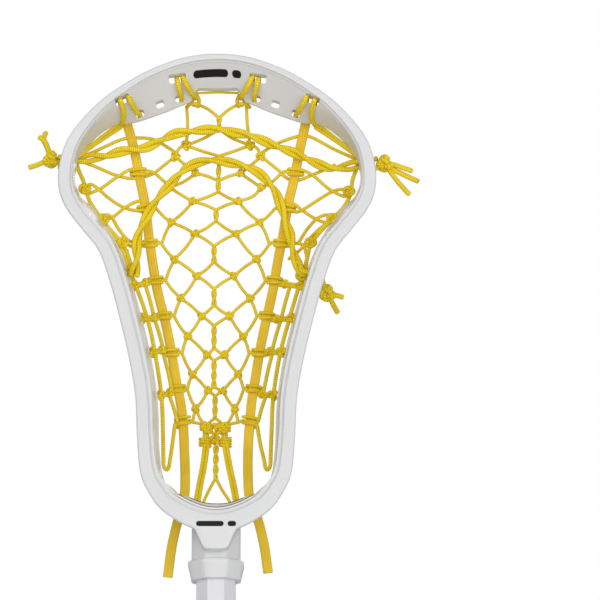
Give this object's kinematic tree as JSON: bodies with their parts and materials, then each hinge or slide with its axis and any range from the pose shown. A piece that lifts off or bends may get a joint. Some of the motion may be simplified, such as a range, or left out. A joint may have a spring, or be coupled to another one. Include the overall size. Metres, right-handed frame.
{
  "type": "lacrosse stick",
  "caption": "Long octagonal tube with a screwed-on, bowl-shaped plastic head, strung with flat thongs, a cord net and twisted shooting strings.",
  "frame": {"origin": "centre of the end cap's flat bottom face, on the shaft's axis", "axes": "+Z along the shaft from butt to scoop, -Y out of the ball side of the head, +X to the right seen from the ball side"},
  "size_m": [0.2257, 0.0725, 1.0815],
  "materials": {
    "head_plastic": "moulded nylon, satin, pale grey-white",
    "shaft_paint": "white powder coat on alloy tube, with plain dark bars",
    "cap_rubber": "matt black rubber",
    "screw_steel": "zinc-plated steel",
    "pad_foam": "pale closed-cell foam",
    "thong_yellow": "flat woven nylon tape, golden yellow",
    "net_cord": "thin braided nylon cord, bright yellow",
    "shooter_cord": "thick braided nylon cord, bright yellow"
  },
  "bodies": {
    "stick": {"head": "head_plastic", "ball_stop": "pad_foam", "shaft": "shaft_paint", "runner_left": "thong_yellow", "runner_right": "thong_yellow", "crosslace": "net_cord", "side_lacing_left": "net_cord", "side_lacing_right": "net_cord", "sidewall_string_left": "net_cord", "sidewall_string_right": "net_cord", "upper_shooter_front": "shooter_cord", "upper_shooter_back": "shooter_cord", "lower_shooter_front": "shooter_cord", "lower_shooter_back": "shooter_cord", "upper_knot_left": "shooter_cord", "upper_knot_right": "shooter_cord", "lower_knot_right": "shooter_cord", "throat_cord_left": "net_cord", "throat_cord_right": "net_cord", "scoop_lace_inner_left": "shooter_cord", "scoop_lace_inner_right": "shooter_cord", "scoop_lace_outer_left": "shooter_cord", "scoop_lace_outer_right": "shooter_cord"},
    "cap": {"end_cap": "cap_rubber"},
    "screw": {"head_screw": "screw_steel"}
  },
  "joints": [
    {"name": "end_cap_pull", "type": "slide", "parent": "stick", "child": "cap", "axis": [0, 0, -1], "range_m": [0, 0.03]},
    {"name": "head_screw_turn", "type": "hinge", "parent": "stick", "child": "screw", "pos_m": [0, 0.01, 0.8], "axis": [0, 1, 0], "continuous": true}
  ]
}
